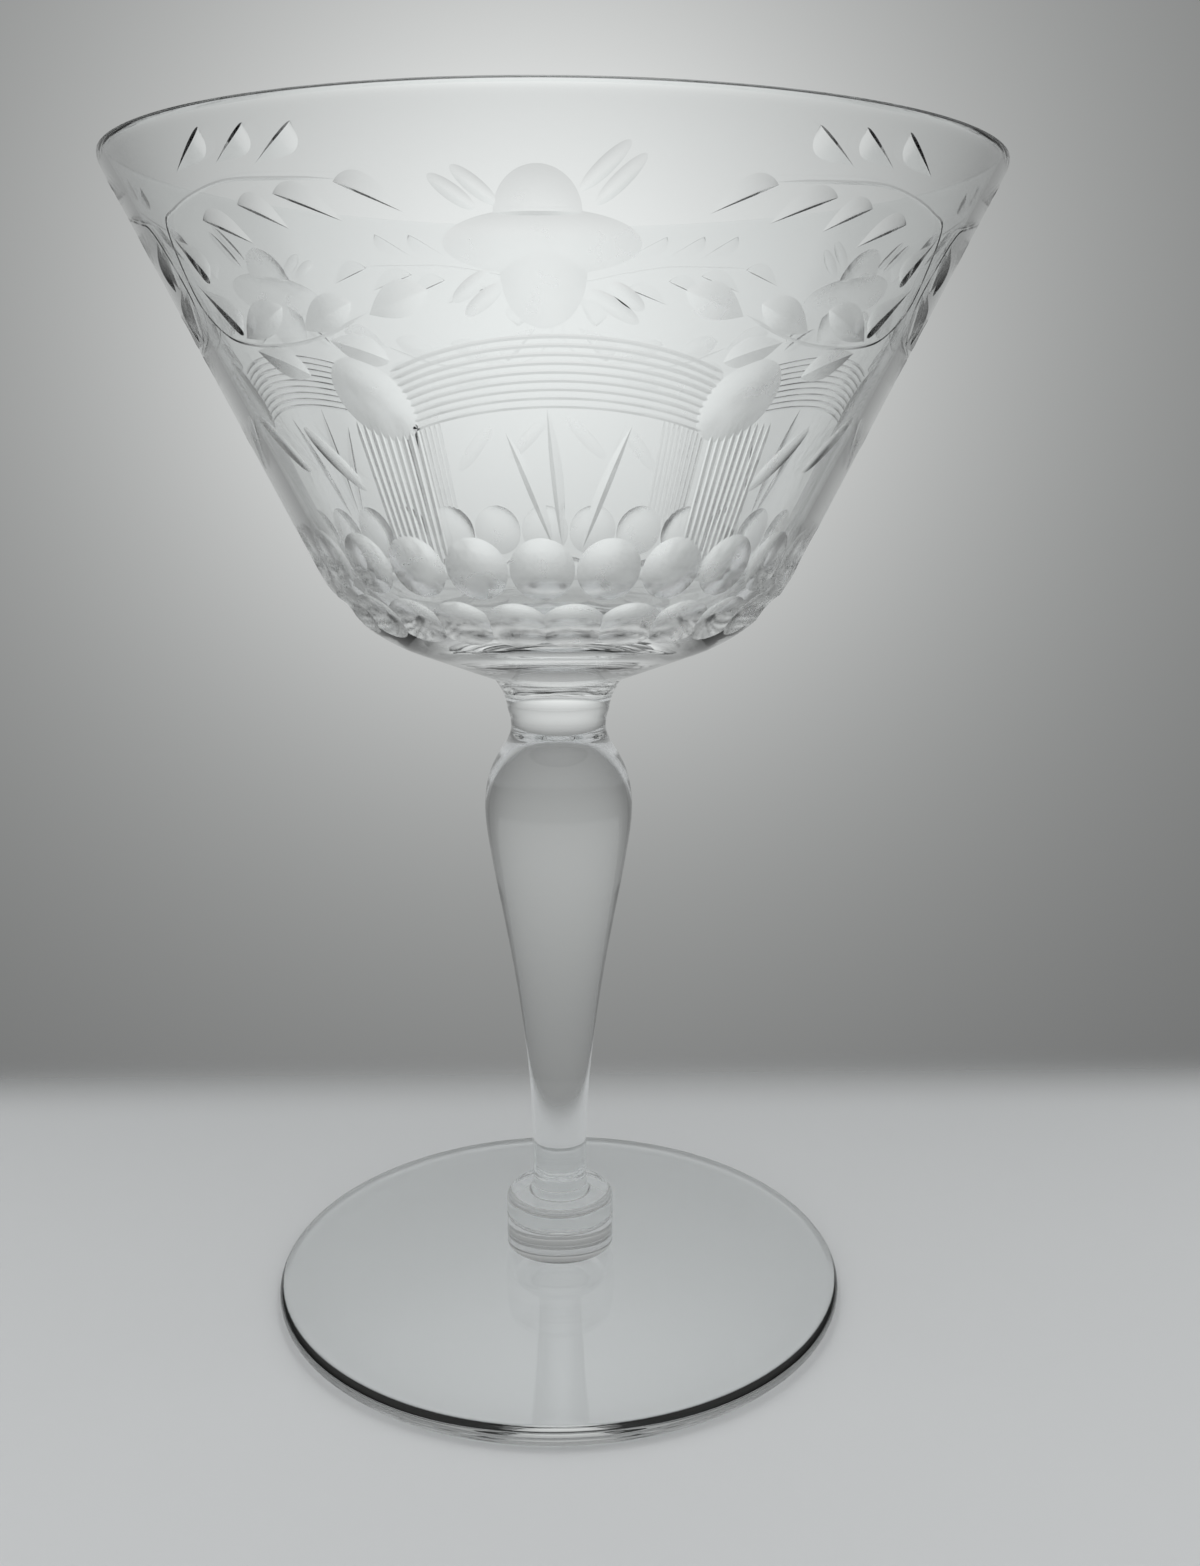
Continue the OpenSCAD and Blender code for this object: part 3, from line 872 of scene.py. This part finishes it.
    def build(self) -> bpy.types.Mesh:
        """Turns the bowl, cuts it set by set and gives every facet clean normals."""
        outline = self.outline()
        mesh = turned_mesh(self.name, outline, self.segments)
        mesh.attributes.new("cut", "INT", "FACE")
        sets: list[list[Cutter]] = []
        for bites in Panel().batches().values():
            sets.append([bite.cutter(self.wall, i * 360 / self.panels, steps)
                         for i in range(self.panels) for bite, steps in bites])
        sets.extend(self.thumbprints(start) for start in range(self.thumb_sets))
        done: list[Cutter] = []
        for cutters in sets:
            mesh = cut_away(mesh, cutters, len(done) + 1)
            done.extend(cutters)
        smooth_facets(mesh, outline, done)
        return mesh


def cut_away(mesh: bpy.types.Mesh, cutters: list[Cutter], first: int) -> bpy.types.Mesh:
    """Takes a set of cutters away from a mesh.

    Args:
        mesh: Mesh that is cut; it is removed.
        cutters: Cutters that don't overlap.
        first: Number that the first cutter's faces get in the attribute "cut".

    Returns:
        The cut mesh.
    """
    verts: list[np.ndarray] = []
    faces: list[tuple[int, ...]] = []
    numbers: list[int] = []
    base = 0
    for i, cutter in enumerate(cutters):
        verts.append(cutter.verts * MM)
        faces.extend(tuple(base + v for v in face) for face in cutter.faces)
        numbers.extend([first + i] * len(cutter.faces))
        base += len(cutter.verts)
    tool_mesh = bpy.data.meshes.new("wheel")
    tool_mesh.from_pydata(np.concatenate(verts).tolist(), [], faces)
    tool_mesh.update()
    tool_mesh.attributes.new("cut", "INT", "FACE").data.foreach_set("value", numbers)
    body = bpy.data.objects.new("blank", mesh)
    tool = bpy.data.objects.new("wheel", tool_mesh)
    for thing in (body, tool):
        bpy.context.scene.collection.objects.link(thing)
    bite = body.modifiers.new("bite", "BOOLEAN")
    bite.solver = "MANIFOLD"
    bite.operation = "DIFFERENCE"
    bite.object = tool
    result = bpy.data.meshes.new_from_object(body.evaluated_get(bpy.context.evaluated_depsgraph_get()))
    result.name = mesh.name
    for thing, data in ((body, mesh), (tool, tool_mesh)):
        bpy.data.objects.remove(thing)
        bpy.data.meshes.remove(data)
    return result


def smooth_facets(mesh: bpy.types.Mesh, outline: Outline, cutters: list[Cutter]) -> None:
    """Gives the uncut skin its turned normals, each cut its finish, and facets crisp edges.

    Args:
        mesh: The cut bowl.
        outline: Outline that the bowl was turned from.
        cutters: What was cut away, in the order of the numbers in the attribute "cut".
    """
    count = len(mesh.polygons)
    cuts = values(mesh.attributes["cut"].data, "value")
    sizes = values(mesh.polygons, "loop_total")
    owner = np.repeat(np.arange(count), sizes)
    corner = values(mesh.loops, "vertex_index")
    places = values(mesh.vertices, "co", 3) / MM
    mark_edges(mesh, cuts, owner)
    normals = values(mesh.corner_normals, "vector", 3)
    mids = np.zeros((count, 3))
    np.add.at(mids, owner, places[corner])
    mids /= sizes[:, None]
    flat = np.stack([np.hypot(mids[:, 0], mids[:, 1]), mids[:, 2]], axis=1)
    which = np.argmin([outline.nearest(run, flat)[0] for run in outline.runs], axis=0)
    for k, run in enumerate(outline.runs):
        here = ((cuts == 0) & (which == k))[owner]
        at = places[corner[here]]
        r = np.hypot(at[:, 0], at[:, 1])
        bend = outline.nearest(run, np.stack([r, at[:, 2]], axis=1))[1]
        ray = at[:, :2] / np.maximum(r, TOUCH)[:, None]
        normals[here] = np.column_stack([ray * bend[:, :1], bend[:, 1]])
    surfaces = values(mesh.polygons, "material_index")
    for number, cutter in enumerate(cutters, 1):
        surfaces[cuts == number] = int(cutter.finish)
        if cutter.ball is not None:
            here = (cuts == number)[owner]
            inward = np.array(cutter.ball) - places[corner[here]]
            normals[here] = inward / np.linalg.norm(inward, axis=1)[:, None]
    mesh.polygons.foreach_set("material_index", surfaces)
    mesh.normals_split_custom_set(normals.tolist())
    mesh.attributes.remove(mesh.attributes["cut"])


def mark_edges(mesh: bpy.types.Mesh, cuts: np.ndarray, owner: np.ndarray, angle: float = 9.0) -> None:
    """Marks edges sharp between cuts and where faces turn by more than an angle.

    Args:
        mesh: The cut bowl.
        cuts: Number of the cut that made each face.
        owner: Face of each corner.
        angle: Turn between two faces of one facet, in degrees, above which the edge is sharp.
    """
    mesh.polygons.foreach_set("use_smooth", [True] * len(mesh.polygons))
    facing = values(mesh.polygons, "normal", 3)
    order = np.argsort(values(mesh.loops, "edge_index"), kind="stable")
    pairs = owner[order].reshape(-1, 2)
    turn = np.sum(facing[pairs[:, 0]] * facing[pairs[:, 1]], axis=1)
    sharp = (turn < math.cos(math.radians(angle))) | (cuts[pairs[:, 0]] != cuts[pairs[:, 1]])
    mesh.edges.foreach_set("use_edge_sharp", sharp)
    mesh.update()


@dataclass
class BowlMerese(GlassPiece):
    """Pad of glass that spreads from the stem to the bowl."""

    at: Heights
    name: str = "bowl_pad"
    node: str = "bowl_merese"
    low_r: float = 6.1
    high_r: float = 7.6
    low_shares: Pair = (0.15, 0.35)
    high_shares: Pair = (0.5, 0.3)

    def outline(self) -> Outline:
        """Outline of the pad between its two fused joints."""
        low, high = (self.low_r, self.at.pad), (self.high_r, self.at.bowl)
        spread, tall = self.high_r - self.low_r, self.at.bowl - self.at.pad
        shape = Outline()
        shape.start(Surface.SEAM).line((0, low[1]), low)
        shape.start().curve(low, (low[0] + spread * self.low_shares[0], low[1] + tall * self.low_shares[1]),
                            (high[0] - spread * self.high_shares[0], high[1] - tall * self.high_shares[1]),
                            high, steps=16)
        shape.start(Surface.SEAM).line(high, (0, high[1]))
        return shape


@dataclass
class Stem(GlassPiece):
    """Drawn stem: slender below, swelling to a drop, drawn in to a neck under the bowl."""

    at: Heights
    name: str = "drop_stem"
    node: str = "stem"
    low_r: float = 3.9
    slim_r: float = 3.3
    drop_r: float = 8.8
    neck_r: float = 5.6
    top_r: float = 6.1
    neck_drop: float = 2.8
    drop_drop: float = 12.6
    slim_shares: tuple[float, float, float] = (0.007, 0.035, 0.07)
    taper_shares: Pair = (0.47, 0.15)
    bulge_shares: Pair = (0.63, 0.23)

    def outline(self) -> Outline:
        """Outline of the stem between its two fused joints."""
        low, top = self.at.stem, self.at.pad
        tall = top - low
        slim, drop, neck = low + tall * self.slim_shares[2], top - self.drop_drop, top - self.neck_drop
        taper, bulge = drop - slim, neck - drop
        shape = Outline()
        shape.start(Surface.SEAM).line((0, low), (self.low_r, low))
        shape.start().curve((self.low_r, low), (self.slim_r, low + tall * self.slim_shares[0]),
                            (self.slim_r, low + tall * self.slim_shares[1]), (self.slim_r, slim), steps=14)
        shape.curve((self.slim_r, slim), (self.slim_r, slim + taper * self.taper_shares[0]),
                    (self.drop_r, drop - taper * self.taper_shares[1]), (self.drop_r, drop), steps=44)
        shape.curve((self.drop_r, drop), (self.drop_r, drop + bulge * self.bulge_shares[0]),
                    (self.neck_r, neck - bulge * self.bulge_shares[1]), (self.neck_r, neck), steps=30)
        shape.curve((self.neck_r, neck), (self.neck_r, neck + self.neck_drop / 2),
                    (self.top_r, top - self.neck_drop / 4), (self.top_r, top), steps=12)
        shape.start(Surface.SEAM).line((self.top_r, top), (0, top))
        return shape


@dataclass
class FootMerese(GlassPiece):
    """Upper button of the collar, between stem and foot."""

    at: Heights
    name: str = "collar_button"
    node: str = "foot_merese"
    button_r: float = 6.7
    stem_r: float = 3.9
    seam: float = 0.3
    edge: float = 1.0

    def outline(self) -> Outline:
        """Outline of the button with a softened seam below and a round edge above."""
        low, top = self.at.button, self.at.stem
        shape = Outline()
        shape.start(Surface.SEAM).line((0, low), (self.button_r - self.seam, low))
        shape.start().arc((self.button_r - self.seam, low + self.seam), self.seam, -90, 0, steps=6)
        shape.line((self.button_r, low + self.seam), (self.button_r, top - self.edge))
        shape.arc((self.button_r - self.edge, top - self.edge), self.edge, 0, 90, steps=12)
        shape.line((self.button_r - self.edge, top), (self.stem_r, top))
        shape.start(Surface.SEAM).line((self.stem_r, top), (0, top))
        return shape


@dataclass
class Foot(GlassPiece):
    """Thin spread foot, raised to the lower button of the collar and hollow underneath."""

    at: Heights
    name: str = "spread_foot"
    node: str = "foot"
    segments: int = 360
    foot_r: float = 35.3
    edge_t: float = 2.4
    hollow: float = 1.8
    rest_w: float = 2.2
    button_r: float = 6.7
    seam: float = 0.3
    hollow_shares: Pair = (0.4, 0.7)
    edge_shares: Pair = (0.7, 0.2)
    button_shares: Pair = (0.3, 0.35)

    def outline(self) -> Outline:
        """Outline of the foot: underside, resting ring, round edge, raised top and button."""
        edge_r = self.edge_t / 2
        rest_r = self.foot_r - edge_r
        rise, run = self.at.foot - self.edge_t, rest_r - self.button_r
        side, top = (self.button_r, self.at.button - self.seam), self.at.button
        shape = Outline()
        shape.start().curve((0, self.hollow), (rest_r * self.hollow_shares[0], self.hollow),
                            (rest_r * self.hollow_shares[1], 0), (rest_r - self.rest_w, 0), steps=24)
        shape.line((rest_r - self.rest_w, 0), (rest_r, 0))
        shape.arc((rest_r, edge_r), edge_r, -90, 90, steps=20)
        near = (self.button_r + run * self.button_shares[0], self.at.foot - rise * self.button_shares[1])
        shape.curve((rest_r, self.edge_t), (rest_r * self.edge_shares[0], self.edge_t + rise * self.edge_shares[1]),
                    near, (self.button_r, self.at.foot), steps=30)
        shape.start().line((self.button_r, self.at.foot), side)
        shape.arc((self.button_r - self.seam, top - self.seam), self.seam, 0, 90, steps=6)
        shape.start(Surface.SEAM).line((self.button_r - self.seam, top), (0, top))
        return shape


@dataclass
class Studio:
    """Pale floor, a softly glowing panel close behind the glass, and the camera of the picture."""

    picture: tuple[int, int] = (1200, 1566)
    focal_px: float = 1532.0
    sensor_mm: float = 36.0
    clip_m: Pair = (0.01, 20.0)
    eye: tuple[float, float, float] = (0.0, -178.3, 105.6)
    pitch: float = 12.89
    yaw: float = 1.55
    roll: float = -0.16
    floor_r: float = 900.0
    floor_sides: int = 128
    floor_drop: float = 0.03
    floor_fade: Pair = (170.0, 330.0)
    panel_fade: Pair = (44.0, 76.0)
    floor_colour: str = "#d3d5d6"
    panel_y: float = 78.0
    panel_half_w: float = 165.0
    panel_z: Pair = (-160.0, 300.0)
    panel_edge: float = 55.0
    panel_top: float = 110.0
    glow: Pair = (-3.1, 122.5)
    glow_r: float = 58.0
    glow_levels: Pair = (0.1, 0.93)
    glow_tint: str = "#fdfffe"
    room_levels: Pair = (0.15, 0.6)
    room_slopes: Pair = (0.15, 0.7)
    room_level: float = 0.92
    bounces: int = 32
    glossy_bounces: int = 12

    def camera(self) -> None:
        """Sets the camera at the picture's viewing place."""
        data = bpy.data.cameras.new("camera")
        data.sensor_fit = "HORIZONTAL"
        data.sensor_width = self.sensor_mm
        data.lens = self.focal_px * self.sensor_mm / self.picture[0]
        data.clip_start, data.clip_end = self.clip_m
        eye = bpy.data.objects.new("camera", data)
        eye.location = Vector(self.eye) * MM
        eye.rotation_euler = Euler((math.radians(90 - self.pitch), math.radians(self.roll),
                                    math.radians(-self.yaw)), "XYZ")
        bpy.context.scene.collection.objects.link(eye)
        bpy.context.scene.camera = eye

    def stage(self, name: str, corners: list[tuple[float, float, float]]) -> bpy.types.NodeTree:
        """Puts one flat face on the stage.

        Args:
            name: Name of the object and of its material.
            corners: Corners in millimetres.

        Returns:
            The empty node tree of its material.
        """
        mesh = bpy.data.meshes.new(name)
        mesh.from_pydata([tuple(v * MM for v in corner) for corner in corners], [], [tuple(range(len(corners)))])
        material = blank_material(name)
        mesh.materials.append(material)
        thing = bpy.data.objects.new(name, mesh)
        bpy.context.scene.collection.objects.link(thing)
        return material.node_tree

    def floor(self) -> None:
        """Lays the floor of matt paper, which melts away in the distance and before the panel."""
        turns = np.linspace(0, 2 * np.pi, self.floor_sides, endpoint=False)
        tree = self.stage("matt_paper_floor", [
            (self.floor_r * math.cos(t), self.floor_r * math.sin(t), -self.floor_drop) for t in turns])
        place = add_node(tree, "ShaderNodeTexCoord").outputs["Object"]
        axes = add_node(tree, "ShaderNodeSeparateXYZ", {}, {0: place})
        far = add_node(tree, "ShaderNodeVectorMath", {"operation": "LENGTH"}, {0: place})
        melt = maths(tree, "MAXIMUM", fade(tree, far.outputs["Value"], self.floor_fade),
                     fade(tree, axes.outputs["Y"], self.panel_fade))
        paper = add_node(tree, "ShaderNodeBsdfDiffuse", {}, {"Color": srgb(self.floor_colour)})
        clear = add_node(tree, "ShaderNodeBsdfTransparent")
        mix = add_node(tree, "ShaderNodeMixShader", {}, {
            0: melt, 1: paper.outputs["BSDF"], 2: clear.outputs["BSDF"]})
        add_node(tree, "ShaderNodeOutputMaterial", {}, {"Surface": mix.outputs["Shader"]})

    def panel(self) -> None:
        """Hangs the panel: it glows towards the glass, melts away at its edges and is clear from behind."""
        low, high = self.panel_z
        tree = self.stage("glowing_panel", [
            (-self.panel_half_w, self.panel_y, low), (self.panel_half_w, self.panel_y, low),
            (self.panel_half_w, self.panel_y, high), (-self.panel_half_w, self.panel_y, high)])
        place = add_node(tree, "ShaderNodeTexCoord").outputs["Object"]
        middle = (self.glow[0] * MM, self.panel_y * MM, self.glow[1] * MM)
        away = add_node(tree, "ShaderNodeVectorMath", {"operation": "DISTANCE"}, {0: place, 1: middle})
        share = maths(tree, "DIVIDE", away.outputs["Value"], self.glow_r * MM)
        fall = maths(tree, "MULTIPLY_ADD", share, share, 1.0)
        glow = maths(tree, "DIVIDE", self.glow_levels[1] - self.glow_levels[0], fall)
        level = maths(tree, "ADD", glow, self.glow_levels[0])
        light = add_node(tree, "ShaderNodeEmission", {}, {
            "Color": srgb(self.glow_tint), "Strength": level})
        clear = add_node(tree, "ShaderNodeBsdfTransparent")
        gone = add_node(tree, "ShaderNodeNewGeometry").outputs["Backfacing"]
        axes = add_node(tree, "ShaderNodeSeparateXYZ", {}, {0: place})
        side = maths(tree, "ABSOLUTE", axes.outputs["X"])
        for value, end, width in ((side, self.panel_half_w, self.panel_edge),
                                  (axes.outputs["Z"], high, self.panel_top)):
            gone = maths(tree, "MAXIMUM", gone, fade(tree, value, (end - width, end)))
        mix = add_node(tree, "ShaderNodeMixShader", {}, {
            0: gone, 1: light.outputs["Emission"], 2: clear.outputs["BSDF"]})
        add_node(tree, "ShaderNodeOutputMaterial", {}, {"Surface": mix.outputs["Shader"]})

    def room(self) -> None:
        """Gives the floor the even light of a room with dim grey walls, a pale ceiling and a pale ground."""
        world = bpy.data.worlds.new("studio")
        bpy.context.scene.world = world
        world.use_nodes = True
        tree = world.node_tree
        tree.nodes.clear()
        place = add_node(tree, "ShaderNodeTexCoord").outputs["Generated"]
        axes = add_node(tree, "ShaderNodeSeparateXYZ", {}, {0: place})
        slope = maths(tree, "ABSOLUTE", axes.outputs["Z"])
        height = add_node(tree, "ShaderNodeMapRange", {"interpolation_type": "SMOOTHSTEP"}, {
            "Value": slope, "From Min": self.room_slopes[0], "From Max": self.room_slopes[1],
            "To Min": self.room_levels[0], "To Max": self.room_levels[1]})
        wall = add_node(tree, "ShaderNodeBackground", {}, {
            "Color": srgb(self.glow_tint), "Strength": height.outputs["Result"]})
        light = add_node(tree, "ShaderNodeBackground", {}, {"Color": srgb("#ffffff"), "Strength": self.room_level})
        path = add_node(tree, "ShaderNodeLightPath")
        # Rays that no matt surface has scattered yet show the walls: seen straight, in glass or mirrored.
        shown = maths(tree, "LESS_THAN", path.outputs["Diffuse Depth"], 0.5)
        mix = add_node(tree, "ShaderNodeMixShader", {}, {
            0: shown, 1: light.outputs["Background"], 2: wall.outputs["Background"]})
        add_node(tree, "ShaderNodeOutputWorld", {}, {"Surface": mix.outputs["Shader"]})

    def light_paths(self) -> None:
        """Lets light pass every wall of glass, and reach the floor through the glass unblurred."""
        scene = bpy.context.scene
        scene.view_settings.view_transform = "Standard"
        cycles = scene.cycles
        cycles.max_bounces = cycles.transmission_bounces = cycles.transparent_max_bounces = self.bounces
        cycles.glossy_bounces = self.glossy_bounces
        cycles.blur_glossy = 0.0


def main() -> None:
    """Builds the glass piece by piece, then the studio round it."""
    logging.basicConfig(level=logging.INFO, format="%(name)s %(message)s")
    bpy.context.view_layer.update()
    finishes = [FIRE_POLISHED.make(), WHEEL_CUT.make(), BRUSHED.make(), FusedSeam().make()]
    at = Heights()
    for part in (Bowl(at), BowlMerese(at), Stem(at), FootMerese(at), Foot(at)):
        part.dress(finishes)
    studio = Studio()
    studio.floor()
    studio.panel()
    studio.room()
    studio.light_paths()
    studio.camera()


if __name__ == "__main__":
    main()
